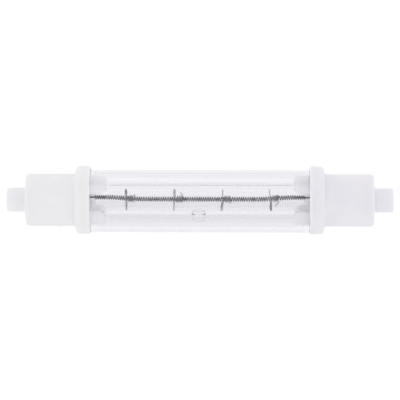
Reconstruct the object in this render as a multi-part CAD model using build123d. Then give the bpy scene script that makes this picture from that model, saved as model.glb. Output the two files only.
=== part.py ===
from build123d import *
import math
import os

# Infrared heat lamp: a double-ended quartz lamp inside a loose outer glass jacket, with a slotted
# ceramic cap and a recessed contact at each end. X runs along the lamp and Z is up. The origin is
# at the lamp's middle, on the caps' axis. All sizes are in millimetres.

# Overall length, over the bosses
OVERALL_LENGTH = 117.6

# Flats that stand in for small round forms: their length on a rounded edge, and the sides of a wire
ROUND_FLAT = 0.5
WIRE_SIDES = 3
LEAD_SIDES = 6

# Quartz envelope of the inner lamp
ENVELOPE_DIAMETER = 9.2
ENVELOPE_WALL = 1.1
SHOULDER_LENGTH = 3.4
PINCH_LENGTH = 11.5
PINCH_WIDTH = 11.6
PINCH_THICKNESS = 3.6
CAVITY_NOSE = 0.9

# Exhaust tip under the middle of the envelope
TIP_REACH = 2.0
TIP_DIAMETER = 4.2
TIP_FOOT_DIAMETER = 5.2
TIP_ROUNDING = 1.0
TIP_HOLLOW_DIAMETER = 2.6
TIP_HOLLOW_END = 1.0
TIP_WALL = 2.2
TIP_OFFSET = -0.4

# Coiled filament and the leads that carry it
INNER_LEAD_DIAMETER = 0.56
COIL_WIRE = 0.3
COIL_PITCH = 0.675
COIL_STEPS = 5
COIL_SETBACK = 1.15
LEAD_GRIP = 3.4
FILAMENT_DROP = 0.68
OUTER_LEAD_DIAMETER = 0.8
FOIL_WIDTH = 3.0
FOIL_THICKNESS = 0.1
FOIL_MARGIN = 1.9
WELD_LENGTH = 1.5

# Wire supports: an open turn and a close winding on the coil, then a ring that bears on the envelope's
# bore. Each stands a little differently: its ring's tilt, the roll of its wire and its tail's length.
SUPPORT_TILTS = (0.0, 4.0, 2.0, -7.0)
SUPPORT_ROLLS = (0.0, 0.0, 180.0, 180.0)
SUPPORT_TAILS = (0.4, 1.1, 0.4, 1.5)
SUPPORT_WIRE = 0.36
SUPPORT_END_SPAN = 10.2
SUPPORT_SHIFT = -0.45
WINDING_TURNS = 3
WINDING_PITCH = 0.45
OPEN_PITCH = 1.2
RING_STEPS = 11

# Ceramic end cap, built up round what it holds
SPIGOT_LENGTH = 4.6
SPIGOT_WALL = 2.5
FLARE_LENGTH = 1.6
FLARE_RISE = 0.8
SLOT_LIP = 1.3
FLANGE_LENGTH = 4.5
FLANGE_LIP = 0.85
FLANGE_ROUNDING = 1.3
BODY_LENGTH = 15.15
BODY_WALL = 1.4
BODY_ROUNDING = 0.9
BOSS_LENGTH = 5.9
BOSS_WALL = 1.4
BOSS_ROUNDING = 0.6
POCKET_END = 0.8

# Recessed contact
RECESS_DIAMETER = 4.6
RECESS_DEPTH = 1.7
RECESS_STEP = 0.3
CONTACT_HEAD = 1.1
STEM_DIAMETER = 2.0
STEM_LENGTH = 3.5

# Outer glass jacket, which hangs on the spigots
JACKET_WALL = 1.5

# Clearances
JACKET_CLEARANCE = 0.4
JACKET_SEAT = 0.03
JACKET_END_GAP = 0.1
ENVELOPE_FIT = 0.5
POCKET_FIT = 0.4
SLOT_FIT = 0.85
SEAL_GAP = 0.02
WELD_GAP = 0.01
LEAD_FIT = 0.03
CONTACT_FIT = 0.05
WINDING_FIT = 0.03
RING_GAP = 0.1

# Stations along X, from the right end inwards
end_x = OVERALL_LENGTH / 2
body_end_x = end_x - BOSS_LENGTH
flange_outer_x = body_end_x - BODY_LENGTH
flange_inner_x = flange_outer_x - FLANGE_LENGTH
spigot_face_x = flange_inner_x - SPIGOT_LENGTH
contact_face_x = end_x - RECESS_DEPTH
contact_seat_x = contact_face_x - CONTACT_HEAD
stem_end_x = contact_seat_x - STEM_LENGTH

# Stations of the inner lamp, from the flange outwards
shoulder_x = flange_inner_x
pinch_start_x = shoulder_x + SHOULDER_LENGTH
pinch_end_x = pinch_start_x + PINCH_LENGTH
pocket_floor_x = pinch_end_x + POCKET_END
foil_start_x = pinch_start_x + FOIL_MARGIN
foil_end_x = pinch_end_x - FOIL_MARGIN
coil_end_x = flange_inner_x - COIL_SETBACK
grip_x = coil_end_x - LEAD_GRIP

# Radii and sections
envelope_radius = ENVELOPE_DIAMETER / 2
cavity_radius = envelope_radius - ENVELOPE_WALL
bore_radius = envelope_radius + ENVELOPE_FIT
spigot_radius = bore_radius + SPIGOT_WALL
jacket_bore_radius = spigot_radius + JACKET_CLEARANCE
jacket_radius = jacket_bore_radius + JACKET_WALL
jacket_drop = JACKET_CLEARANCE - JACKET_SEAT
flange_radius = jacket_radius + FLANGE_LIP
pocket_width = PINCH_WIDTH + 2 * POCKET_FIT
pocket_height = PINCH_THICKNESS + 2 * POCKET_FIT
slot_half = PINCH_THICKNESS / 2 + SLOT_FIT
body_radius = math.hypot(pocket_width / 2, pocket_height / 2) + BODY_WALL
recess_radius = RECESS_DIAMETER / 2
boss_radius = recess_radius + BOSS_WALL
seat_radius = recess_radius - RECESS_STEP
lead_hole_radius = STEM_DIAMETER / 2 + CONTACT_FIT

# The foil lies on the outer lead and the inner lead lies on the foil
foil_height = OUTER_LEAD_DIAMETER / 2 + WELD_GAP + FOIL_THICKNESS / 2
lead_height = foil_height + FOIL_THICKNESS / 2 + WELD_GAP + INNER_LEAD_DIAMETER / 2
coil_height = lead_height - FILAMENT_DROP

# Wire paths are polygons, so that their flats are what clears the rod or coil inside
flat_share = math.cos(math.pi / COIL_STEPS)
coil_path_radius = (INNER_LEAD_DIAMETER / 2 + LEAD_FIT + COIL_WIRE / 2) / flat_share
coil_radius = coil_path_radius + COIL_WIRE / 2
winding_radius = (coil_radius + WINDING_FIT + SUPPORT_WIRE / 2) / flat_share
ring_radius = cavity_radius - RING_GAP - SUPPORT_WIRE / 2 / math.cos(math.pi / RING_STEPS)

# Supports stand at even steps along the coil
support_count = len(SUPPORT_TILTS)
first_support_x = SUPPORT_END_SPAN - coil_end_x
support_pitch = -2 * first_support_x / (support_count - 1)
support_xs = [first_support_x + SUPPORT_SHIFT + i * support_pitch for i in range(support_count)]


def along_x(section, start, stop):
    """Extrude a section, drawn across the lamp with its first axis along Y, from start to stop."""
    plane = Plane(origin=(start, 0, 0), x_dir=(0, 1, 0), z_dir=(1, 0, 0))
    return extrude(plane * section, stop - start)


def rod(radius, start, stop, height=0.0):
    """A round bar along X, its axis this high above the caps' axis."""
    return along_x(Pos(0, height) * Circle(radius), start, stop)


def lead_bar(diameter, start, stop, height=0.0):
    """A straight lead or stem along X, this wide across its corners."""
    return along_x(Pos(0, height) * RegularPolygon(diameter / 2, LEAD_SIDES), start, stop)


def mirrored(piece):
    """The same piece for the left end."""
    return mirror(piece, Plane.YZ)


def eased(corner, arriving, leaving, radius):
    """Points that round off a profile's corner between the edge arriving at it and the one leaving."""
    points = []
    flats = max(1, round(radius / ROUND_FLAT))
    for step in range(flats + 1):
        turn = math.pi / 2 * step / flats
        back = radius * (math.sin(turn) - 1)
        onward = radius * (1 - math.cos(turn))
        points.append(tuple(c + back * a + onward * b for c, a, b in zip(corner, arriving, leaving)))
    return points


def wire(points, diameter):
    """A wire this wide across its corners, with flat steps between the points."""
    start = Vector(*points[0])
    across = Plane(origin=start, z_dir=Vector(*points[1]) - start)
    section = across * RegularPolygon(diameter / 2, WIRE_SIDES)
    return sweep(section, path=Polyline(*points), transition=Transition.RIGHT)


def filament_height(x):
    """Height of the coil's axis: level on the leads, then falling to the outer supports."""
    outer_support = abs(support_xs[0] if x < 0 else support_xs[-1])
    climb = (abs(x) - outer_support) / (grip_x - outer_support)
    return coil_height + FILAMENT_DROP * min(max(climb, 0), 1)


def filament():
    turns = round(2 * coil_end_x / COIL_PITCH)
    steps = turns * COIL_STEPS
    points = []
    for step in range(steps + 1):
        x = coil_end_x * (2 * step / steps - 1)
        angle = math.tau * step / COIL_STEPS
        across = coil_path_radius * math.cos(angle)
        up = coil_path_radius * math.sin(angle)
        points.append((x, across, filament_height(x) + up))
    return wire(points, COIL_WIRE)


def filament_support(x, tilt, roll, tail):
    """One wire: a short tail, an open turn, a close winding, a spiral outwards and a ring in the bore."""
    turned = math.radians(roll)
    winding_end_x = x + WINDING_PITCH * (WINDING_TURNS + 1)
    tail_x = winding_end_x + OPEN_PITCH
    tail_radius = winding_radius + tail
    tail_up = filament_height(tail_x) + tail_radius * math.cos(turned)
    points = [(tail_x, tail_radius * math.sin(turned), tail_up)]
    for step in range((WINDING_TURNS + 1) * COIL_STEPS + 1):
        turn = step / COIL_STEPS
        angle = math.tau * turn + turned
        along = tail_x - OPEN_PITCH * min(turn, 1) - WINDING_PITCH * max(turn - 1, 0)
        across = winding_radius * math.sin(angle)
        points.append((along, across, filament_height(along) + winding_radius * math.cos(angle)))
    lean = math.tan(math.radians(tilt))
    spiral_steps = COIL_STEPS
    for step in range(1, spiral_steps + RING_STEPS):
        outwards = min(step / spiral_steps, 1)
        radius = winding_radius + (ring_radius - winding_radius) * outwards
        turn = (min(step, spiral_steps) / 2 + max(step - spiral_steps, 0)) / RING_STEPS
        angle = math.tau * turn + turned
        up = radius * math.cos(angle) + coil_height * (1 - outwards)
        along = x + WINDING_PITCH * (1 - outwards) + lean * up * outwards
        points.append((along, radius * math.sin(angle), up))
    return wire(points, SUPPORT_WIRE)


def inner_lead():
    return lead_bar(INNER_LEAD_DIAMETER, grip_x, foil_start_x + WELD_LENGTH, lead_height)


def outer_lead():
    return lead_bar(OUTER_LEAD_DIAMETER, foil_end_x - WELD_LENGTH, stem_end_x - WELD_GAP)


def foil():
    return along_x(Pos(0, foil_height) * Rectangle(FOIL_WIDTH, FOIL_THICKNESS), foil_start_x, foil_end_x)


def sealed_in_space():
    """The room that the two leads and the foil take up in one pinch."""
    gap = SEAL_GAP
    foil_section = Rectangle(FOIL_WIDTH + 2 * gap, FOIL_THICKNESS + 2 * gap)
    space = along_x(Pos(0, foil_height) * foil_section, foil_start_x - gap, foil_end_x + gap)
    inner_end_x = foil_start_x + WELD_LENGTH + gap
    space += lead_bar(INNER_LEAD_DIAMETER + 2 * gap, shoulder_x, inner_end_x, lead_height)
    outer_start_x = foil_end_x - WELD_LENGTH - gap
    space += lead_bar(OUTER_LEAD_DIAMETER + 2 * gap, outer_start_x, pinch_end_x)
    return space


def pinched_end(gap=0.0):
    """The flat pinch, and the shoulder between it and the round tube, with this much added all round."""
    radius = envelope_radius + gap
    half_thickness = PINCH_THICKNESS / 2 + gap
    half_width = PINCH_WIDTH / 2 + gap
    jaws = extrude(Plane.XZ * tapered(radius, half_thickness), radius, both=True)
    shoulder = rod(radius, shoulder_x, pinch_start_x) & jaws
    web_half = math.sqrt(radius**2 - half_thickness**2)
    webs = extrude(tapered(web_half, half_width), half_thickness, both=True)
    pinch = along_x(Rectangle(2 * half_width, 2 * half_thickness), pinch_start_x, pinch_end_x + gap)
    return shoulder + webs + pinch


def tapered(start_half, stop_half):
    """A flat outline along the shoulder, between two half-widths."""
    outline = Polyline(
        (shoulder_x, start_half),
        (pinch_start_x, stop_half),
        (pinch_start_x, -stop_half),
        (shoulder_x, -start_half),
        close=True,
    )
    return make_face(outline)


def cavity():
    """The inside of the tube, which narrows to a blunt nose in each shoulder."""
    nose_x = pinch_start_x - CAVITY_NOSE
    right = [(shoulder_x, cavity_radius), (nose_x, CAVITY_NOSE), (nose_x, 0)]
    left = [(-x, radius) for x, radius in reversed(right)]
    return revolve(make_face(Polyline(*left, *right, close=True)), Axis.X)


def on_tip_axis(outline):
    """Turn an outline, given as radius and distance from the tube's axis, about the exhaust tip's axis."""
    peg = revolve(Plane.XZ * make_face(Polyline(*outline, close=True)), Axis.Z)
    return Plane(origin=(TIP_OFFSET, 0, 0), x_dir=(1, 0, 0), z_dir=(0, 0, -1)) * peg


def exhaust_tip():
    """The drawn-off stub, from inside the tube's wall to its rounded end."""
    foot = envelope_radius - ENVELOPE_WALL / 2
    top = envelope_radius + TIP_REACH
    round_end = eased((TIP_DIAMETER / 2, top), (0, 1), (-1, 0), TIP_ROUNDING)
    return on_tip_axis([(0, foot), (TIP_FOOT_DIAMETER / 2, foot), *round_end, (0, top)])


def tip_hollow():
    """The shallow hollow that the drawn-off glass closed over."""
    mouth = cavity_radius - ENVELOPE_WALL / 2
    bottom = envelope_radius + TIP_REACH - TIP_WALL
    flank = [(TIP_HOLLOW_DIAMETER / 2, mouth), (TIP_HOLLOW_END / 2, bottom)]
    return on_tip_axis([(0, mouth), *flank, (0, bottom)])


def lamp_envelope():
    tube = rod(envelope_radius, -shoulder_x, shoulder_x)
    ends = pinched_end()
    envelope = tube + ends + mirrored(ends) + exhaust_tip()
    envelope = envelope - cavity() - tip_hollow()
    space = sealed_in_space()
    return envelope - space - mirrored(space)


def end_cap():
    outwards = (1, 0)
    down = (0, -1)
    outline = Polyline(
        (spigot_face_x, 0),
        (spigot_face_x, spigot_radius),
        (flange_inner_x, spigot_radius),
        (flange_inner_x, flange_radius),
        *eased((flange_outer_x, flange_radius), outwards, down, FLANGE_ROUNDING),
        (flange_outer_x, body_radius),
        *eased((body_end_x, body_radius), outwards, down, BODY_ROUNDING),
        (body_end_x, boss_radius),
        *eased((end_x, boss_radius), outwards, down, BOSS_ROUNDING),
        (end_x, 0),
        close=True,
    )
    cap = revolve(make_face(outline), Axis.X)
    pocket = Rectangle(pocket_width, pocket_height)
    cap -= rod(bore_radius, spigot_face_x, pinch_start_x)
    cap -= spigot_slot()
    cap -= along_x(pocket, flange_inner_x, pocket_floor_x)
    cap -= rod(lead_hole_radius, pocket_floor_x, contact_seat_x)
    cap -= rod(seat_radius, contact_seat_x, contact_face_x)
    return cap - rod(recess_radius, contact_face_x, end_x)


def spigot_slot():
    """The slot that lets the pinch's wings pass: flared at its mouth, with a lip at the back of its end."""
    mouth_half = slot_half + FLARE_RISE
    flare_x = spigot_face_x + FLARE_LENGTH
    outline = Polyline(
        (spigot_face_x, mouth_half),
        (flare_x, slot_half),
        (flange_inner_x, slot_half),
        (flange_inner_x, -slot_half),
        (flare_x, -slot_half),
        (spigot_face_x, -mouth_half),
        close=True,
    )
    slot = extrude(Plane.XZ * make_face(outline), spigot_radius, both=True)
    lip_start = pocket_width / 2
    lip = Rectangle(spigot_radius - lip_start, 2 * slot_half, align=(Align.MIN, Align.CENTER))
    return slot - along_x(Pos(lip_start, 0) * lip, flange_inner_x - SLOT_LIP, flange_inner_x)


def pinch_cement():
    """The cement that fills the cap's pocket and bore, round the pinch and the shoulder."""
    gap = SEAL_GAP
    pocket = Rectangle(pocket_width - 2 * gap, pocket_height - 2 * gap)
    fill = along_x(pocket, flange_inner_x + gap, pocket_floor_x - gap)
    fill += rod(bore_radius - gap, flange_inner_x + gap, pinch_start_x - gap)
    fill -= pinched_end(gap)
    return fill - lead_bar(OUTER_LEAD_DIAMETER + 2 * gap, pinch_end_x, pocket_floor_x)


def contact():
    """A flat button on a stem, to whose end the outer lead is welded."""
    button = rod(seat_radius - CONTACT_FIT, contact_seat_x, contact_face_x)
    return button + lead_bar(STEM_DIAMETER, stem_end_x, contact_seat_x)


def outer_jacket():
    half_length = flange_inner_x - JACKET_END_GAP
    wall = Circle(jacket_radius) - Circle(jacket_bore_radius)
    return Pos(0, 0, -jacket_drop) * along_x(wall, -half_length, half_length)


def save(piece, node):
    piece.label = node
    export_step(piece, f"parts/{node}.step")


def main():
    os.makedirs("parts", exist_ok=True)
    save(outer_jacket(), "outer_jacket")
    save(lamp_envelope(), "lamp_envelope")
    save(filament(), "filament")
    settings = zip(support_xs, SUPPORT_TILTS, SUPPORT_ROLLS, SUPPORT_TAILS)
    for number, setting in enumerate(settings, start=1):
        save(filament_support(*setting), f"filament_support_{number}")
    end_pieces = {
        "end_cap": end_cap(),
        "pinch_cement": pinch_cement(),
        "inner_lead": inner_lead(),
        "seal_foil": foil(),
        "outer_lead": outer_lead(),
        "contact": contact(),
    }
    for name, piece in end_pieces.items():
        save(piece, f"right_{name}")
        save(mirrored(piece), f"left_{name}")


main()
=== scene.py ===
import math

import bmesh
import bpy
import numpy as np
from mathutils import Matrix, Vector

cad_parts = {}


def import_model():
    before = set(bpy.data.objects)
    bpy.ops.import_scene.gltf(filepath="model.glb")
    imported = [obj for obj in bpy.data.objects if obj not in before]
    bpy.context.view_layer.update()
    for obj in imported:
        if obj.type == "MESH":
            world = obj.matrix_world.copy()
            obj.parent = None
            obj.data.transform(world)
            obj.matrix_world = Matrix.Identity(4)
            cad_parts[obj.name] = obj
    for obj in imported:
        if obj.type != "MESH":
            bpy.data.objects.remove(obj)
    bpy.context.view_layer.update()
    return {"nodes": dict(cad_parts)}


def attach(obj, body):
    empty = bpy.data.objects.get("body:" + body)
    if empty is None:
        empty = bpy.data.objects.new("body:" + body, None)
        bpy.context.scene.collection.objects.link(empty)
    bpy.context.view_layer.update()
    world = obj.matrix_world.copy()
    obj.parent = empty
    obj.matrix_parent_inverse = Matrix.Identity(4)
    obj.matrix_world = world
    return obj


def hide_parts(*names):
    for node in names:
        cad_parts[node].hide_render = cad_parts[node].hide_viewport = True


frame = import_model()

MM = 0.001
SIDES = (("left", -1), ("right", 1))
SHARP_ANGLE = 35.0
SOFT_ANGLE = 60.0

# Sizes in millimetres. The large ones are those of the part's source.

# Places along the lamp, from its middle
END_X = 58.8
BODY_END_X = 52.9
FLANGE_OUTER_X = 37.75
FLANGE_INNER_X = 33.25
FLARE_X = 30.25
SPIGOT_FACE_X = 28.65
SHOULDER_X = 33.25
PINCH_START_X = 36.65
PINCH_END_X = 48.15
CAVITY_END_X = 35.75
POCKET_FLOOR_X = 48.95
CONTACT_FACE_X = 57.1
CONTACT_SEAT_X = 56.0
STEM_END_X = 52.5
COIL_END_X = 32.1
GRIP_X = 28.7
SAG_X = 17.0
LEAD_END_X = 40.05

# Ceramic caps
SPIGOT_RADIUS = 7.6
FLANGE_RADIUS = 10.35
BODY_RADIUS = 7.98
BOSS_RADIUS = 3.7
BORE_RADIUS = 5.1
RECESS_RADIUS = 2.3
SEAT_RADIUS = 2.0
LEAD_HOLE_RADIUS = 1.05
POCKET_WIDTH = 12.4
POCKET_HEIGHT = 4.4
SLOT_HALF = 2.65
SLOT_LIP = 1.3
SLOT_MOUTH_HALF = 3.45
CUT_OVERLAP = 0.2
CUT_PAST = 0.5
LIP_PAST = 1.0
CAP_SEGMENTS = 160

# Lump under the left cap
NIB_X = -42.75
NIB_Y = -1.11
NIB_Z = -7.9
NIB_RADIUS = 0.65
NIB_HEIGHT = 0.3

# Cement
CEMENT_GAP = 0.02
PLUG_CORE = 0.5
SPACE_PAST = 1.0
LEAD_SPACE_RADIUS = 0.42
CEMENT_SEGMENTS = 96

# Outer jacket
JACKET_RADIUS = 9.5
JACKET_BORE = 8.0
JACKET_HALF = 33.23
JACKET_DROP = 0.37
JACKET_ROUNDING = 0.06
JACKET_SEGMENTS = 256

# Quartz envelope. A power of 2 makes a round section, a higher one a squarer section.
TUBE_RADIUS = 4.6
CAVITY_RADIUS = 3.5
CAVITY_CLOSE = 0.995
PINCH_HALF_WIDTH = 5.8
PINCH_HALF_THICK = 1.8
PINCH_ROUNDING = ((0.4, 1.0), (0.1, 0.97), (0.0, 0.92))
ROUND_POWER = 2
PINCH_POWER = 9
TIP_X = -0.4
TIP_REACH = 2.0
TIP_FIELD = 4.2
TIP_FOOT_RADIUS = 2.2
TIP_WALL = 2.2
TIP_RADIUS = 2.0
TIP_ROUNDING = 0.5

# Filament and inner leads
LEAD_HEIGHT = 0.8
LEAD_RADIUS = 0.28
COIL_HEIGHT = 0.26
COIL_TURNS = 95
COIL_TURN_STEPS = 24
COIL_PATH_RADIUS = 0.63
COIL_WIRE_RADIUS = 0.148
WOBBLE = 0.06
WOBBLE_KNOTS = 60
WOBBLE_SEED = 7

# Filament supports
SUPPORT_XS = (-22.35, -7.75, 6.85, 21.45)
SUPPORT_TILTS = (0.0, 4.0, 2.0, -7.0)
SUPPORT_ROLLS = (0.0, 0.0, 180.0, 180.0)
SUPPORT_TAILS = (0.4, 1.1, 0.4, 1.5)
SUPPORT_WIRE_RADIUS = 0.125
WINDING_RADIUS = 1.0
WINDING_TURNS = 3
WINDING_PITCH = 0.5
WINDING_STEPS = 96
OPEN_PITCH = 0.5
TAIL_START = 0.1
TAIL_LEAN = 0.7
SPIRAL_TURN = 0.23
SPIRAL_STEPS = 40
RING_RADIUS = 3.25
RING_TURNS = 1.25
RING_LEAD = 0.28
RING_ASIDE = 0.34
RING_ASIDE_FROM = 0.7
RING_ASIDE_OVER = 0.3
RING_STEPS = 96

# Contacts
STEM_RADIUS = 1.0
BUTTON_RADIUS = 1.95
DIMPLE_RADIUS = 0.3
DIMPLE_DEPTH = 0.1
AXIS_RADIUS = 0.02
CONTACT_SEGMENTS = 96


# Meshes

def smoothstep(t):
    """From 0 to 1, level at both ends."""
    t = np.clip(t, 0.0, 1.0)
    return t * t * (3 - 2 * t)


def shade(mesh, sharp):
    """Smooth shading, apart from edges sharper than an angle in degrees."""
    mesh.polygons.foreach_set("use_smooth", [True] * len(mesh.polygons))
    mesh.set_sharp_from_angle(angle=math.radians(sharp))
    mesh.update()


def add_mesh(name, points, faces, sharp=SHARP_ANGLE, turn_faces=True):
    """A smooth-shaded mesh object from points in millimetres."""
    mesh = bpy.data.meshes.new(name)
    mesh.from_pydata([tuple(p) for p in np.asarray(points, float) * MM], [], faces)
    mesh.update()
    if turn_faces:
        fix = bmesh.new()
        fix.from_mesh(mesh)
        bmesh.ops.recalc_face_normals(fix, faces=fix.faces)
        fix.to_mesh(mesh)
        fix.free()
    obj = bpy.data.objects.new(name, mesh)
    bpy.context.scene.collection.objects.link(obj)
    shade(mesh, sharp)
    return obj


def grid_faces(rows, columns, wrap_rows):
    """Quads between rows of points, each row a closed ring."""
    faces = []
    for i in range(rows if wrap_rows else rows - 1):
        a = i * columns
        b = (i + 1) % rows * columns
        for j in range(columns):
            k = (j + 1) % columns
            faces.append((a + j, a + k, b + k, b + j))
    return faces


def ring_ends(rows, columns):
    """The faces that close the first and the last of some rings of points."""
    return [tuple(range(columns)), tuple(range((rows - 1) * columns, rows * columns))]


def on_side(sign, outline):
    """An outline that starts with x, put at the lamp's left or right end."""
    return [(sign * x, other) for x, other in outline]


def rounded(corners, steps=8):
    """A closed outline with each corner (x, radius, rounding) rounded off."""
    points = []
    for i, (x, r, rounding) in enumerate(corners):
        here = np.array((x, r))
        if rounding == 0:
            points.append(here)
            continue
        before = np.array(corners[i - 1][:2]) - here
        after = np.array(corners[(i + 1) % len(corners)][:2]) - here
        before /= np.linalg.norm(before)
        after /= np.linalg.norm(after)
        for turn in np.linspace(0, math.pi / 2, steps + 1):
            inwards = (1 - math.sin(turn)) * before + (1 - math.cos(turn)) * after
            points.append(here + rounding * inwards)
    return points


def held(outline, long_side=0.6, step=0.04):
    """The outline with a point close to each end of its long sides.

    These keep the shading of the rounded corners off the sides.
    """
    points = []
    for here, after in zip(outline, list(outline[1:]) + [outline[0]]):
        here, after = np.array(here), np.array(after)
        length = np.linalg.norm(after - here)
        points.append(here)
        if length > long_side:
            points.append(here + (after - here) * step / length)
            points.append(after - (after - here) * step / length)
    return points


def lathe(name, outline, segments, drop=0.0):
    """A closed outline of (x, radius) turned about the lamp's axis."""
    angles = np.linspace(0, math.tau, segments, endpoint=False)
    points = []
    outline = held(outline)
    for x, r in outline:
        for angle in angles:
            points.append((x, r * math.cos(angle), r * math.sin(angle) - drop))
    return add_mesh(name, points, grid_faces(len(outline), segments, True))


def tube(name, path, radius, sides):
    """A round wire along a path, with rounded ends."""
    path = np.asarray(path, float)
    tangent = np.gradient(path, axis=0)
    tangent /= np.linalg.norm(tangent, axis=1)[:, None]
    # Any direction will do that the path doesn't start in
    normal = np.cross(tangent[0], (0.31, 0.42, 0.85))
    normal /= np.linalg.norm(normal)
    points = []
    angles = np.linspace(0, math.tau, sides, endpoint=False)

    def ring(centre, along, across, size):
        other = np.cross(along, across)
        for angle in angles:
            points.append(centre + size * (math.cos(angle) * across + math.sin(angle) * other))

    rounding = np.radians((15, 40, 65))
    for turn in rounding:
        centre = path[0] + tangent[0] * radius * (1 - math.cos(turn))
        ring(centre, tangent[0], normal, radius * math.sin(turn))
    for i in range(len(path)):
        normal = normal - tangent[i] * np.dot(normal, tangent[i])
        normal /= np.linalg.norm(normal)
        centre = path[i]
        if i == 0:
            centre = path[0] + tangent[0] * radius
        if i == len(path) - 1:
            centre = path[-1] - tangent[-1] * radius
        ring(centre, tangent[i], normal, radius)
    for turn in rounding[::-1]:
        centre = path[-1] - tangent[-1] * radius * (1 - math.cos(turn))
        ring(centre, tangent[-1], normal, radius * math.sin(turn))
    rows = len(points) // sides
    faces = grid_faces(rows, sides, False) + ring_ends(rows, sides)
    return add_mesh(name, points, faces, SOFT_ANGLE)


def prism(outline, near, far):
    """A block with an (x, z) outline, from one place along Y to another."""
    count = len(outline)
    points = [(x, near, z) for x, z in outline] + [(x, far, z) for x, z in outline]
    faces = [tuple(range(count)), tuple(range(2 * count - 1, count - 1, -1))]
    for i in range(count):
        j = (i + 1) % count
        faces.append((i, i + count, j + count, j))
    return add_mesh("cutter", points, faces)


def combine(obj, steps):
    """Join other shapes to a shape or cut them out of it, one after the other."""
    for operation, other in steps:
        step = obj.modifiers.new("step", "BOOLEAN")
        step.operation = operation
        step.solver = "EXACT"
        step.object = other
    depsgraph = bpy.context.evaluated_depsgraph_get()
    combined = bpy.data.meshes.new_from_object(obj.evaluated_get(depsgraph))
    obj.modifiers.clear()
    old = obj.data
    obj.data = combined
    bpy.data.meshes.remove(old)
    for _, other in steps:
        mesh = other.data
        bpy.data.objects.remove(other)
        bpy.data.meshes.remove(mesh)
    shade(obj.data, SHARP_ANGLE)


def ride(obj, slot, material, *nodes):
    """Give a finished piece its material and its body, and hide the nodes it stands for; slot is
    not used.
    """
    obj.data.materials.clear()
    obj.data.materials.append(material)
    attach(obj, "root")
    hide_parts(*nodes)


# Shader nodes

def new_material(name):
    """A material with its nodes, its links and its main shader."""
    material = bpy.data.materials.new(name)
    material.use_nodes = True
    nodes, links = material.node_tree.nodes, material.node_tree.links
    return material, nodes, links, nodes["Principled BSDF"]


def axes(nodes, links, vector):
    """A vector's X, Y and Z."""
    node = nodes.new("ShaderNodeSeparateXYZ")
    links.new(vector, node.inputs[0])
    return node.outputs


def object_axes(nodes, links):
    """X, Y and Z of the place on the object, in metres."""
    place = nodes.new("ShaderNodeTexCoord")
    return axes(nodes, links, place.outputs["Object"])


def calculate(nodes, links, operation, *values):
    """The result of one operation on values, each a number or a socket."""
    node = nodes.new("ShaderNodeMath")
    node.operation = operation
    for socket, value in zip(node.inputs, values):
        if isinstance(value, (int, float)):
            socket.default_value = value
        else:
            links.new(value, socket)
    return node.outputs[0]


def noise(nodes, links, scale, detail, stretch=(1, 1, 1)):
    """Noise on the object's own coordinates."""
    place = nodes.new("ShaderNodeTexCoord")
    mapping = nodes.new("ShaderNodeMapping")
    mapping.inputs["Scale"].default_value = stretch
    links.new(place.outputs["Object"], mapping.inputs["Vector"])
    texture = nodes.new("ShaderNodeTexNoise")
    texture.inputs["Scale"].default_value = scale
    texture.inputs["Detail"].default_value = detail
    links.new(mapping.outputs["Vector"], texture.inputs["Vector"])
    return texture.outputs["Fac"]


def ramp(nodes, links, value, low, high):
    """A colour that goes from low to high over the middle part of a value from 0 to 1."""
    node = nodes.new("ShaderNodeValToRGB")
    for element, position, colour in zip(node.color_ramp.elements, (0.3, 0.7), (low, high)):
        element.position = position
        element.color = (*colour, 1)
    links.new(value, node.inputs["Fac"])
    return node.outputs["Color"]


def spread(nodes, links, value, low, high):
    """A number that goes from low to high as value goes from 0 to 1."""
    node = nodes.new("ShaderNodeMapRange")
    node.inputs["To Min"].default_value = low
    node.inputs["To Max"].default_value = high
    links.new(value, node.inputs["Value"])
    return node.outputs["Result"]


def between(nodes, links, value, low, high, course="LINEAR"):
    """A number that goes from 0 to 1 as value goes from low to high."""
    node = nodes.new("ShaderNodeMapRange")
    node.interpolation_type = course
    node.inputs["From Min"].default_value = low
    node.inputs["From Max"].default_value = high
    links.new(value, node.inputs["Value"])
    return node.outputs["Result"]


def choose(nodes, links, value, when_off, when_on):
    """A number that goes from one to the other as value goes from 0 to 1."""
    node = nodes.new("ShaderNodeMix")
    node.data_type = "FLOAT"
    links.new(value, node.inputs[0])
    for socket, given in ((node.inputs[2], when_off), (node.inputs[3], when_on)):
        if isinstance(given, (int, float)):
            socket.default_value = given
        else:
            links.new(given, socket)
    return node.outputs[0]


def grey_ramp(nodes, links, value, low, high, stops):
    """Grey levels at places along a value, given as (place, level)."""
    node = nodes.new("ShaderNodeValToRGB")
    elements = node.color_ramp.elements
    while len(elements) < len(stops):
        elements.new(0.5)
    for element, (place, _) in zip(elements, stops):
        element.position = (place - low) / (high - low)
    for element, (_, level) in zip(elements, stops):
        element.color = (level, level, level, 1)
    links.new(between(nodes, links, value, low, high), node.inputs["Fac"])
    return node.outputs["Color"]


def bump(nodes, links, value, strength, distance, shader):
    """Fine relief on a shader, with a distance in metres."""
    node = nodes.new("ShaderNodeBump")
    node.inputs["Strength"].default_value = strength
    node.inputs["Distance"].default_value = distance
    links.new(value, node.inputs["Height"])
    links.new(node.outputs["Normal"], shader.inputs["Normal"])


# Materials. Their places and lengths are in metres.

QUARTZ_INDEX = 1.458
CLEAR_OVER = 0.001
SKIN_OVER = 0.0002
BELOW_Z = -0.002
ABOVE_Z = 0.002

CERAMIC_LOW = (0.905, 0.9, 0.945)
CERAMIC_HIGH = (0.93, 0.925, 0.97)
CERAMIC_REACH = 0.06
# Painted shade along X in metres: the spigots darker than the left body, the right spigot darkest
# by its flange, the right body a little darker.
CERAMIC_PAINTED_SHADE = [
    (-0.0333, 1.0), (-0.0331, 0.975), (-0.0287, 0.985),
    (0.0287, 0.925), (0.0331, 0.87), (0.0333, 0.965),
]
SPIGOT_ROOT = (0.0327, 0.0332)
SPIGOT_SCATTER = 0.006
BODY_SCATTER = 0.0008

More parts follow.
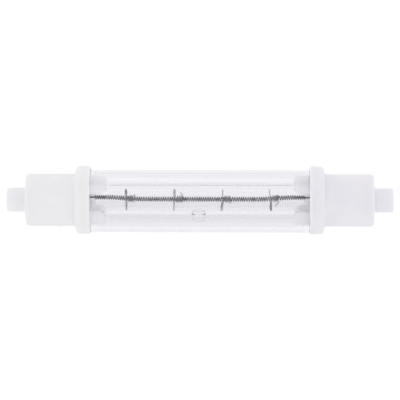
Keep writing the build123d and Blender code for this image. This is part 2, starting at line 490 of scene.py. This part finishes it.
CEMENT_LOW = (0.86, 0.85, 0.84)
CEMENT_HIGH = (0.94, 0.935, 0.925)
CEMENT_GLOW_COLOUR = (0.92, 0.91, 0.93, 1)
CEMENT_GLOW = 0.18


def glass(name, colour, painted_edge_shade, band, clear_from, skin, below):
    """Clear drawn glass with painted shade where its outer skin is looked along, strongest on the
    upper side.

    band is how far the skin is turned away where the painted edge shade starts and is full,
    clear_from the distance from the lamp's middle where it stops, skin the radius from
    which it counts as outer skin, and below its share on the lower side.
    """
    material, nodes, links, shader = new_material(name)
    look = nodes.new("ShaderNodeLayerWeight")
    look.inputs["Blend"].default_value = 0.5
    along = between(nodes, links, look.outputs["Facing"], *band, "SMOOTHSTEP")
    place = object_axes(nodes, links)
    from_middle = calculate(nodes, links, "ABSOLUTE", place["X"])
    past = between(nodes, links, from_middle, clear_from, clear_from + CLEAR_OVER)
    across = nodes.new("ShaderNodeCombineXYZ")
    links.new(place["Y"], across.inputs["Y"])
    links.new(place["Z"], across.inputs["Z"])
    radius = nodes.new("ShaderNodeVectorMath")
    radius.operation = "LENGTH"
    links.new(across.outputs[0], radius.inputs[0])
    outer = between(nodes, links, radius.outputs["Value"], skin - SKIN_OVER, skin)
    upper = between(nodes, links, place["Z"], BELOW_Z, ABOVE_Z)
    weight = calculate(nodes, links, "MULTIPLY", along, choose(nodes, links, upper, below, 1.0))
    share = choose(nodes, links, past, choose(nodes, links, outer, 0.0, weight), 0.0)
    # Painted shade: the base colour darkens towards the edge colour where the outer skin is looked
    # along, less on the lower side.
    links.new(ramp(nodes, links, share, colour, painted_edge_shade), shader.inputs["Base Color"])
    shader.inputs["Transmission Weight"].default_value = 1.0
    shader.inputs["IOR"].default_value = QUARTZ_INDEX
    streaks = noise(nodes, links, 900, 2, (0.02, 1, 1))
    links.new(spread(nodes, links, streaks, 0.0, 0.012), shader.inputs["Roughness"])
    bump(nodes, links, streaks, 0.012, 0.0001, shader)
    return material


def ceramic():
    """Matt white ceramic with painted shade along X (the spigots darker than the left body, the
    right spigot darkest by its flange, the right body a little darker), and clearer in the thin
    spigots.
    """
    material, nodes, links, shader = new_material("ceramic_matt")
    patches = ramp(nodes, links, noise(nodes, links, 140, 4), CERAMIC_LOW, CERAMIC_HIGH)
    x = object_axes(nodes, links)["X"]
    # Painted shade along X, multiplied into the ceramic's patchy colour.
    shaded_patches = nodes.new("ShaderNodeVectorMath")
    shaded_patches.operation = "MULTIPLY"
    links.new(patches, shaded_patches.inputs[0])
    painted_shade = grey_ramp(nodes, links, x, -CERAMIC_REACH, CERAMIC_REACH, CERAMIC_PAINTED_SHADE)
    links.new(painted_shade, shaded_patches.inputs[1])
    links.new(shaded_patches.outputs[0], shader.inputs["Base Color"])
    grain = noise(nodes, links, 2600, 3)
    links.new(spread(nodes, links, grain, 0.55, 0.75), shader.inputs["Roughness"])
    shader.inputs["Specular IOR Level"].default_value = 0.3
    shader.inputs["Subsurface Weight"].default_value = 1.0
    shader.inputs["Subsurface Radius"].default_value = (1, 1, 1)
    from_middle = calculate(nodes, links, "ABSOLUTE", x)
    body = between(nodes, links, from_middle, *SPIGOT_ROOT)
    scatter = spread(nodes, links, body, SPIGOT_SCATTER, BODY_SCATTER)
    links.new(scatter, shader.inputs["Subsurface Scale"])
    bump(nodes, links, grain, 0.12, 0.0001, shader)
    return material


def metal(name, low, high, roughness, scale=1500, stretch=(1, 1, 1)):
    """Bare metal with marks that change its colour, roughness and relief."""
    material, nodes, links, shader = new_material(name)
    shader.inputs["Metallic"].default_value = 1.0
    marks = noise(nodes, links, scale, 3, stretch)
    links.new(ramp(nodes, links, marks, low, high), shader.inputs["Base Color"])
    varied = spread(nodes, links, marks, roughness - 0.08, roughness + 0.08)
    links.new(varied, shader.inputs["Roughness"])
    bump(nodes, links, marks, 0.15, 0.00003, shader)
    return material


def cement():
    """Rough cement. Its weak glow stands for light that soaks through the caps."""
    material, nodes, links, shader = new_material("cement_rough")
    lumps = noise(nodes, links, 900, 6)
    links.new(ramp(nodes, links, lumps, CEMENT_LOW, CEMENT_HIGH), shader.inputs["Base Color"])
    shader.inputs["Roughness"].default_value = 0.9
    shader.inputs["Emission Color"].default_value = CEMENT_GLOW_COLOUR
    shader.inputs["Emission Strength"].default_value = CEMENT_GLOW
    bump(nodes, links, lumps, 0.15, 0.0002, shader)
    return material


# The edge colours here are painted shade at the glass's edges.
jacket_glass = glass(
    "jacket_glass", colour=(0.985, 0.984, 0.99), painted_edge_shade=(0.87, 0.868, 0.88), band=(0.4, 0.62),
    clear_from=0.0318, skin=0.001, below=0.7)
tube_glass = glass(
    "tube_glass", colour=(0.997, 0.996, 1.0), painted_edge_shade=(0.5, 0.498, 0.51), band=(0.55, 0.78),
    clear_from=0.0275, skin=0.0042, below=0.35)
white_ceramic = ceramic()
tungsten = metal("tungsten_wire", (0.07, 0.07, 0.08), (0.16, 0.16, 0.175), 0.38)
support_metal = metal("support_wire", (0.3, 0.3, 0.32), (0.48, 0.48, 0.51), 0.36)
molybdenum = metal(
    "molybdenum", (0.38, 0.38, 0.4), (0.55, 0.55, 0.57), 0.35, 1200, (0.05, 1, 1))
nickel = metal("nickel_plate", (0.62, 0.6, 0.57), (0.74, 0.72, 0.68), 0.3, 1800)
pinch_cement = cement()


# Ceramic caps

CAP_CORNERS = [
    (SPIGOT_FACE_X, BORE_RADIUS, 0.15),
    (SPIGOT_FACE_X, SPIGOT_RADIUS, 0.3),
    (FLANGE_INNER_X, SPIGOT_RADIUS, 0.15),
    (FLANGE_INNER_X, FLANGE_RADIUS, 0.35),
    (FLANGE_OUTER_X, FLANGE_RADIUS, 1.3),
    (FLANGE_OUTER_X, BODY_RADIUS, 0.6),
    (BODY_END_X, BODY_RADIUS, 0.9),
    (BODY_END_X, BOSS_RADIUS, 0.2),
    (END_X, BOSS_RADIUS, 0.6),
    (END_X, RECESS_RADIUS, 0.2),
    (CONTACT_FACE_X, RECESS_RADIUS, 0),
    (CONTACT_FACE_X, SEAT_RADIUS, 0),
    (CONTACT_SEAT_X, SEAT_RADIUS, 0),
    (CONTACT_SEAT_X, LEAD_HOLE_RADIUS, 0),
    (PINCH_START_X, LEAD_HOLE_RADIUS, 0),
    (PINCH_START_X, BORE_RADIUS, 0),
]


def block_outline(start, stop, half):
    """The (x, z) outline of a block."""
    return [(start, -half), (stop, -half), (stop, half), (start, half)]


def nib():
    """The small lump under the left cap's body."""
    ball = bmesh.new()
    bmesh.ops.create_icosphere(ball, subdivisions=3, radius=1.0)
    points = []
    for vert in ball.verts:
        x, y, z = vert.co
        points.append((NIB_X + NIB_RADIUS * x, NIB_Y + NIB_RADIUS * y, NIB_Z + NIB_HEIGHT * z))
    faces = [tuple(vert.index for vert in face.verts) for face in ball.faces]
    ball.free()
    return add_mesh("cutter", points, faces)


def end_cap(side, sign):
    """A turned cap with a pocket for the pinch and a slot across its spigot."""
    outline = on_side(sign, rounded(CAP_CORNERS))
    cap = lathe(f"{side}_cap_ceramic", outline, CAP_SEGMENTS)
    pocket = block_outline(FLANGE_INNER_X - CUT_OVERLAP, POCKET_FLOOR_X, POCKET_HEIGHT / 2)
    mouth_x = SPIGOT_FACE_X - CUT_PAST
    flare = SLOT_MOUTH_HALF - SLOT_HALF
    mouth = SLOT_MOUTH_HALF + flare * CUT_PAST / (FLARE_X - SPIGOT_FACE_X)
    slot = [(mouth_x, -mouth), (FLARE_X, -SLOT_HALF), (FLANGE_INNER_X, -SLOT_HALF),
            (FLANGE_INNER_X, SLOT_HALF), (FLARE_X, SLOT_HALF), (mouth_x, mouth)]
    past = SPIGOT_RADIUS + CUT_PAST
    pocket_space = prism(on_side(sign, pocket), -POCKET_WIDTH / 2, POCKET_WIDTH / 2)
    slot_space = prism(on_side(sign, slot), -past, past)
    lip = block_outline(
        FLANGE_INNER_X - SLOT_LIP, FLANGE_INNER_X + CUT_OVERLAP, SLOT_HALF + CUT_OVERLAP)
    lip_space = prism(on_side(sign, lip), POCKET_WIDTH / 2, SPIGOT_RADIUS + LIP_PAST)
    combine(slot_space, (("DIFFERENCE", lip_space),))
    combine(cap, (("DIFFERENCE", pocket_space), ("DIFFERENCE", slot_space)))
    if side == "left":
        combine(cap, (("UNION", nib()),))
    ride(cap, "ceramic", white_ceramic, f"{side}_end_cap")


for side, sign in SIDES:
    end_cap(side, sign)


# Outer glass jacket

jacket = lathe("jacket_glass", rounded([
    (-JACKET_HALF, JACKET_BORE, JACKET_ROUNDING),
    (-JACKET_HALF, JACKET_RADIUS, JACKET_ROUNDING),
    (JACKET_HALF, JACKET_RADIUS, JACKET_ROUNDING),
    (JACKET_HALF, JACKET_BORE, JACKET_ROUNDING),
], 3), JACKET_SEGMENTS, JACKET_DROP)
ride(jacket, "quartz_glass", jacket_glass, "outer_jacket")


# Quartz envelope

def ring_row(x, half_width, half_height, power, angles):
    """A ring of points across the lamp, round or squarer."""
    c, s = np.cos(angles), np.sin(angles)
    y = half_width * np.sign(c) * np.abs(c) ** (2 / power)
    z = half_height * np.sign(s) * np.abs(s) ** (2 / power)
    return np.stack([np.full_like(y, x), y, z], axis=1)


def tube_row(x, gap, angles):
    """A ring of the tube's outside, of its shoulder or of its pinch, with a gap added."""
    press = smoothstep((abs(x) - SHOULDER_X) / (PINCH_START_X - SHOULDER_X))
    width = TUBE_RADIUS + (PINCH_HALF_WIDTH - TUBE_RADIUS) * press + gap
    height = TUBE_RADIUS + (PINCH_HALF_THICK - TUBE_RADIUS) * press + gap
    return ring_row(x, width, height, ROUND_POWER + (PINCH_POWER - ROUND_POWER) * press, angles)


def tip_steps():
    """Steps outwards from the exhaust tip's axis, close together on its flank and its foot."""
    inner = np.linspace(0, TIP_RADIUS - TIP_ROUNDING, 5)[:-1]
    flank = np.linspace(TIP_RADIUS - TIP_ROUNDING, TIP_FOOT_RADIUS, 34)
    outer = np.linspace(TIP_FOOT_RADIUS, TIP_FIELD, 10)[1:]
    return np.concatenate([inner, flank, outer])


def stations(stop):
    """Places of the rings along the tube, as far as a place in each end."""
    ends = np.linspace(SHOULDER_X, stop, 20)
    fine = tip_steps()
    return np.concatenate([
        -ends[:0:-1],
        np.linspace(-SHOULDER_X, TIP_X - TIP_FIELD, 14)[:-1],
        TIP_X - fine[::-1],
        TIP_X + fine[1:],
        np.linspace(TIP_X + TIP_FIELD, SHOULDER_X, 14)[1:],
        ends[1:],
    ])


def ring_angles():
    """Angles round the tube, close together where the exhaust tip stands at the bottom."""
    fine = tip_steps() / TUBE_RADIUS
    rest = np.linspace(fine[-1], math.tau - fine[-1], 150)[1:-1]
    return np.concatenate([-fine[:0:-1], fine, rest]) - math.pi / 2


def draw_tip(row, angles, radius, bulge):
    """Draw a ring of the tube's wall out into the exhaust tip.

    The points lie in a square field there, which is turned into a round one.
    """
    around = (angles + math.pi / 2 + math.pi) % math.tau - math.pi
    u = row[:, 0] - TIP_X
    v = around * TUBE_RADIUS
    size = np.maximum(np.abs(u), np.abs(v))
    length = np.maximum(np.hypot(u, v), 1e-9)
    round_share = 1 - smoothstep((size - TIP_FOOT_RADIUS) / (TIP_FIELD - TIP_FOOT_RADIUS))
    turned = 1 + (size / length - 1) * round_share
    x = TIP_X + u * turned
    turn = v * turned / TUBE_RADIUS
    y = radius * (np.sin(turn) + (turn - np.sin(turn)) * round_share)
    z = -np.sqrt(np.maximum(radius ** 2 - y ** 2, 0))
    z = bulge(np.hypot(x - TIP_X, y), z)
    return np.where((size < TIP_FIELD)[:, None], np.stack([x, y, z], axis=1), row)


def tip_outside(reach, z):
    """Height of the tube's outside, drawn down to a round-ended stub on a flared foot."""
    end = -TUBE_RADIUS - TIP_REACH
    rounding = np.clip((reach - TIP_RADIUS + TIP_ROUNDING) / TIP_ROUNDING, 0, 1)
    stub = end + TIP_ROUNDING * (1 - np.sqrt(np.maximum(1 - rounding ** 2, 0)))
    flare = np.clip((TIP_FOOT_RADIUS - reach) / (TIP_FOOT_RADIUS - TIP_RADIUS), 0, 1)
    stub_foot = end + TIP_ROUNDING
    foot = z + (stub_foot - z) * (1 - np.sqrt(np.maximum(1 - flare ** 2, 0)))
    return np.where(reach < TIP_RADIUS, np.minimum(stub, z), foot)


def tip_inside(reach, z):
    """Height of the tube's inside, with a shallow hollow over the exhaust tip."""
    depth = TUBE_RADIUS + TIP_REACH - TIP_WALL - CAVITY_RADIUS
    return z - depth * np.maximum(0, 1 - (reach / TIP_RADIUS) ** 2) ** 3


def envelope():
    """The sealed tube: an outer skin with pinched ends, and an inner one round its cavity."""
    angles = ring_angles()
    count = len(angles)
    points, faces = [], []

    def add_skin(rows, flip):
        start = len(points)
        for row in rows:
            points.extend(row)
        first, last = ring_ends(len(rows), count)
        skin = grid_faces(len(rows), count, False) + [first[::-1], last]
        for face in skin:
            faces.append(tuple(start + i for i in (face[::-1] if flip else face)))

    outer = []
    for x in stations(PINCH_START_X):
        row = tube_row(x, 0, angles)
        if abs(x - TIP_X) < TIP_FIELD:
            row = draw_tip(row, angles, TUBE_RADIUS, tip_outside)
        outer.append(row)
    for back, share in PINCH_ROUNDING:
        x = PINCH_END_X - back
        size = (PINCH_HALF_WIDTH * share, PINCH_HALF_THICK * share)
        outer.append(ring_row(x, *size, PINCH_POWER, angles))
        outer.insert(0, ring_row(-x, *size, PINCH_POWER, angles))
    add_skin(outer, False)

    inner = []
    for x in stations(CAVITY_END_X):
        along = (abs(x) - SHOULDER_X) / (CAVITY_END_X - SHOULDER_X)
        along = np.clip(along, 0, CAVITY_CLOSE)
        radius = CAVITY_RADIUS * math.sqrt(1 - along ** 2)
        row = ring_row(x, radius, radius, ROUND_POWER, angles)
        if abs(x - TIP_X) < TIP_FIELD:
            row = draw_tip(row, angles, CAVITY_RADIUS, tip_inside)
        inner.append(row)
    add_skin(inner, True)
    return add_mesh("envelope_glass", points, faces, SOFT_ANGLE, False)


ride(envelope(), "quartz_glass", tube_glass, "lamp_envelope")


# Cement round the pinches

def cement_fill(side, sign):
    """The filling of a cap's pocket and bore, out to the end of its slot."""
    front = FLANGE_INNER_X + CEMENT_GAP
    half_width = POCKET_WIDTH / 2 - CEMENT_GAP
    filled = block_outline(front, POCKET_FLOOR_X - CEMENT_GAP, POCKET_HEIGHT / 2 - CEMENT_GAP)
    block = prism(on_side(sign, filled), -half_width, half_width)
    radius = BORE_RADIUS - CEMENT_GAP
    end = PINCH_START_X - CEMENT_GAP
    bore = [(front, PLUG_CORE), (front, radius), (end, radius), (end, PLUG_CORE)]
    plug = lathe("cutter", on_side(sign, bore), CEMENT_SEGMENTS)
    angles = np.linspace(0, math.tau, CEMENT_SEGMENTS, endpoint=False)
    xs = np.concatenate([
        [SHOULDER_X - SPACE_PAST],
        np.linspace(SHOULDER_X, PINCH_START_X, 16),
        [PINCH_END_X + CEMENT_GAP],
    ])
    points = np.concatenate([tube_row(sign * x, CEMENT_GAP, angles) for x in xs])
    faces = grid_faces(len(xs), CEMENT_SEGMENTS, False) + ring_ends(len(xs), CEMENT_SEGMENTS)
    glass_space = add_mesh("cutter", points, faces)
    lead_xs = np.linspace(PINCH_END_X - SPACE_PAST, POCKET_FLOOR_X + SPACE_PAST, 8)
    lead_space = tube("cutter", [(sign * x, 0, 0) for x in lead_xs], LEAD_SPACE_RADIUS, 24)
    block.name = f"{side}_cement_fill"
    block.data.name = block.name
    combine(block, (("UNION", plug), ("DIFFERENCE", glass_space), ("DIFFERENCE", lead_space)))
    ride(block, "cement", pinch_cement, f"{side}_pinch_cement")


for side, sign in SIDES:
    cement_fill(side, sign)


# Filament, supports, leads and contacts

def filament_height(x):
    """Height of the coil's axis: on the leads at its ends, sagging from there to the middle."""
    climb = smoothstep((np.abs(x) - SAG_X) / (GRIP_X - SAG_X))
    return COIL_HEIGHT + (LEAD_HEIGHT - COIL_HEIGHT) * climb


def filament():
    """The coil, with turns that aren't quite evenly spaced."""
    steps = np.linspace(0, 1, COIL_TURNS * COIL_TURN_STEPS + 1)
    rng = np.random.default_rng(WOBBLE_SEED)
    knots = np.linspace(0, 1, WOBBLE_KNOTS)
    wobble = np.interp(steps, knots, rng.normal(0, WOBBLE, WOBBLE_KNOTS))
    x = COIL_END_X * (2 * steps - 1) + wobble
    x = np.clip(x, -COIL_END_X, COIL_END_X)
    angle = math.tau * COIL_TURNS * steps
    y = COIL_PATH_RADIUS * np.cos(angle)
    z = filament_height(x) + COIL_PATH_RADIUS * np.sin(angle)
    return tube("filament_coil", np.stack([x, y, z], axis=1), COIL_WIRE_RADIUS, 8)


def support(number, x, tilt, roll, tail):
    """A support's one wire: a free tail, turns on the coil, a spiral outwards and a ring."""
    turned = math.radians(roll)
    winding_end = x + WINDING_PITCH * (WINDING_TURNS + 1)
    tail_x = winding_end + OPEN_PITCH
    path = []
    for out in np.linspace(tail, TAIL_START, 5):
        radius = WINDING_RADIUS + out
        height = filament_height(np.array(tail_x)) + radius * math.cos(turned)
        path.append((tail_x - TAIL_LEAN * (out - TAIL_START), radius * math.sin(turned), height))
    for turn in np.linspace(0, WINDING_TURNS + 1 - RING_LEAD, WINDING_STEPS):
        angle = math.tau * turn + turned
        along = tail_x - OPEN_PITCH * min(turn, 1) - WINDING_PITCH * max(turn - 1, 0)
        height = filament_height(np.array(along)) + WINDING_RADIUS * math.cos(angle)
        path.append((along, WINDING_RADIUS * math.sin(angle), height))
    lean = math.tan(math.radians(tilt))
    for step in range(1, SPIRAL_STEPS + 1):
        turn = SPIRAL_TURN * step / SPIRAL_STEPS - RING_LEAD
        outwards = smoothstep(np.array(step / SPIRAL_STEPS))
        radius = WINDING_RADIUS + (RING_RADIUS - WINDING_RADIUS) * outwards
        angle = math.tau * turn + turned
        up = radius * math.cos(angle) + COIL_HEIGHT * (1 - outwards)
        along = x + WINDING_PITCH * (1 - outwards) + lean * up * outwards
        path.append((along, radius * math.sin(angle), up))
    for step in range(1, RING_STEPS + 1):
        turn = RING_TURNS * step / RING_STEPS
        angle = math.tau * (SPIRAL_TURN - RING_LEAD + turn) + turned
        up = RING_RADIUS * math.cos(angle)
        aside = RING_ASIDE * smoothstep(np.array((turn - RING_ASIDE_FROM) / RING_ASIDE_OVER))
        path.append((x + lean * up - aside, RING_RADIUS * math.sin(angle), up))
    return tube(f"support_wire_{number}", path, SUPPORT_WIRE_RADIUS, 10)


CONTACT_CORNERS = [
    (STEM_END_X, DIMPLE_RADIUS, 0),
    (STEM_END_X, STEM_RADIUS, 0.15),
    (CONTACT_SEAT_X, STEM_RADIUS, 0.1),
    (CONTACT_SEAT_X, BUTTON_RADIUS, 0.1),
    (CONTACT_FACE_X, BUTTON_RADIUS, 0.25),
    (CONTACT_FACE_X, DIMPLE_RADIUS, 0),
    (CONTACT_FACE_X - DIMPLE_DEPTH, AXIS_RADIUS, 0),
    (STEM_END_X + DIMPLE_DEPTH, AXIS_RADIUS, 0),
]

ride(filament(), "tungsten", tungsten, "filament")
supports = zip(SUPPORT_XS, SUPPORT_TILTS, SUPPORT_ROLLS, SUPPORT_TAILS)
for number, values in enumerate(supports, 1):
    ride(support(number, *values), "tungsten", support_metal, f"filament_support_{number}")
for side, sign in SIDES:
    path = [(sign * x, 0, LEAD_HEIGHT) for x in np.linspace(GRIP_X, LEAD_END_X, 12)]
    lead = tube(f"{side}_lead_wire", path, LEAD_RADIUS, 16)
    ride(lead, "tungsten", tungsten, f"{side}_inner_lead")
    outline = on_side(sign, rounded(CONTACT_CORNERS))
    button = lathe(f"{side}_contact_button", outline, CONTACT_SEGMENTS)
    ride(button, "nickel", nickel, f"{side}_contact")
    for node in (f"{side}_seal_foil", f"{side}_outer_lead"):
        frame["nodes"][node].data.materials.clear()
        frame["nodes"][node].data.materials.append(molybdenum)


# Floor, light and camera

# Light that falls on the lamp is even. What its glass and metal show is graded:
# the floor by its place along Y in metres, with a painted shadow under and in front
# of the lamp, and the sky by its angle up from the back.
FLOOR_HALF = 6.0
FLOOR_LEVEL = -0.075
FLOOR_GREY = (0.8, 0.8, 0.8, 1)
FLOOR_GLOW = 0.2
FLOOR_GLOW_DIRECT = 0.32
FLOOR_REACH = (-0.5, 1.0)
# Floor levels seen in glass and metal; the low ones from -0.1 to -0.004 are a painted shadow under
# and in front of the lamp.
FLOOR_PAINTED_SHADOW_STOPS = [
    (-0.16, 0.85), (-0.1, 0.4), (-0.015, 0.35), (-0.004, 0.4), (0.009, 1.0), (0.15, 1.0),
    (0.22, 0.94), (0.3, 0.91), (0.36, 0.9), (0.5, 0.95), (0.7, 1.0),
]
SKY_REACH = (-180, 180)
SKY_STOPS = [
    (-180, 0.7), (0, 1.05), (12, 1.05), (27, 0.91), (47, 1.0), (57, 0.86), (77, 0.72),
    (87, 0.55), (96, 0.12), (107, 0.12), (115, 1.0), (138, 1.0), (148, 0.7), (180, 0.7),
]
LIGHT_LEVEL = 0.955
FRONT_LEVEL = 0.85
LIGHT_TINT = (0.99, 0.985, 1.0)
SEEN_TINT = (0.932, 0.929, 0.96)

CAMERA_DISTANCE = 0.9
CAMERA_ASIDE = 0.015
CAMERA_RISE = 8
CAMERA_FIELD = 0.1217
SENSOR_WIDTH = 36


def rays(nodes, links):
    """Two values: 1 for what the camera sees directly, and 1 for what it sees in glass or metal."""
    path = nodes.new("ShaderNodeLightPath").outputs
    mirrored = calculate(
        nodes, links, "MAXIMUM", path["Is Glossy Ray"], path["Is Transmission Ray"])
    first = calculate(nodes, links, "LESS_THAN", path["Diffuse Depth"], 0.5)
    return path["Is Camera Ray"], calculate(nodes, links, "MULTIPLY", mirrored, first)


def floor():
    """A wide white floor, far enough below the lamp to keep its shadow out of the picture; glass
    and metal see it with a painted shadow under and in front of the lamp.
    """
    mesh = bpy.data.meshes.new("floor")
    corners = [(-1, -1), (1, -1), (1, 1), (-1, 1)]
    points = [(x * FLOOR_HALF, y * FLOOR_HALF, FLOOR_LEVEL) for x, y in corners]
    mesh.from_pydata(points, [], [(0, 1, 2, 3)])
    obj = bpy.data.objects.new("floor", mesh)
    bpy.context.scene.collection.objects.link(obj)
    material, nodes, links, shader = new_material("floor_white")
    shader.inputs["Base Color"].default_value = FLOOR_GREY
    shader.inputs["Roughness"].default_value = 0.9
    shader.inputs["Specular IOR Level"].default_value = 0.0
    shader.inputs["Emission Color"].default_value = (1, 1, 1, 1)
    direct, seen = rays(nodes, links)
    glow = choose(nodes, links, direct, FLOOR_GLOW, FLOOR_GLOW_DIRECT)
    links.new(glow, shader.inputs["Emission Strength"])
    place = axes(nodes, links, nodes.new("ShaderNodeNewGeometry").outputs["Position"])
    mirrored = nodes.new("ShaderNodeEmission")
    # Painted shadow of the lamp on the floor, seen only in glass and metal.
    graded = grey_ramp(nodes, links, place["Y"], *FLOOR_REACH, FLOOR_PAINTED_SHADOW_STOPS)
    links.new(graded, mirrored.inputs["Strength"])
    mirrored.inputs["Color"].default_value = (*SEEN_TINT, 1)
    mix = nodes.new("ShaderNodeMixShader")
    links.new(seen, mix.inputs[0])
    links.new(shader.outputs[0], mix.inputs[1])
    links.new(mirrored.outputs[0], mix.inputs[2])
    links.new(mix.outputs[0], nodes["Material Output"].inputs["Surface"])
    mesh.materials.append(material)


def world():
    """Even light from all round, a little weaker from the front."""
    made = bpy.data.worlds.new("studio")
    bpy.context.scene.world = made
    made.use_nodes = True
    nodes, links = made.node_tree.nodes, made.node_tree.links
    direct, seen = rays(nodes, links)
    towards = axes(nodes, links, nodes.new("ShaderNodeTexCoord").outputs["Generated"])
    height = calculate(nodes, links, "ARCTAN2", towards["Z"], towards["Y"])
    degrees = calculate(nodes, links, "DEGREES", height)
    sky = grey_ramp(nodes, links, degrees, *SKY_REACH, SKY_STOPS)
    back = between(nodes, links, towards["Y"], -1.0, 0.0)
    around = spread(nodes, links, back, FRONT_LEVEL, LIGHT_LEVEL)
    lit = choose(nodes, links, direct, around, 1.0)
    background = nodes["Background"].inputs
    links.new(choose(nodes, links, seen, lit, sky), background["Strength"])
    links.new(ramp(nodes, links, seen, LIGHT_TINT, SEEN_TINT), background["Color"])


def camera():
    """A long lens, a little above the lamp and to its right."""
    data = bpy.data.cameras.new("camera")
    data.sensor_width = SENSOR_WIDTH
    data.lens = SENSOR_WIDTH * CAMERA_DISTANCE / CAMERA_FIELD
    data.clip_end = 50
    obj = bpy.data.objects.new("camera", data)
    bpy.context.scene.collection.objects.link(obj)
    up, turn = math.radians(CAMERA_RISE), math.asin(CAMERA_ASIDE / CAMERA_DISTANCE)
    obj.location = (
        CAMERA_DISTANCE * math.cos(up) * math.sin(turn),
        -CAMERA_DISTANCE * math.cos(up) * math.cos(turn),
        CAMERA_DISTANCE * math.sin(up),
    )
    obj.rotation_euler = (-Vector(obj.location)).to_track_quat("-Z", "Y").to_euler()
    bpy.context.scene.camera = obj


floor()
world()
camera()
bpy.context.scene.view_settings.view_transform = "Standard"
cycles = bpy.context.scene.cycles
cycles.max_bounces = 24
cycles.transmission_bounces = 24
cycles.glossy_bounces = 24
cycles.diffuse_bounces = 16
cycles.blur_glossy = 0.0
# The noise filter's default guides wipe out the coil's turns
cycles.denoising_prefilter = "NONE"
cycles.denoising_input_passes = "RGB_ALBEDO"
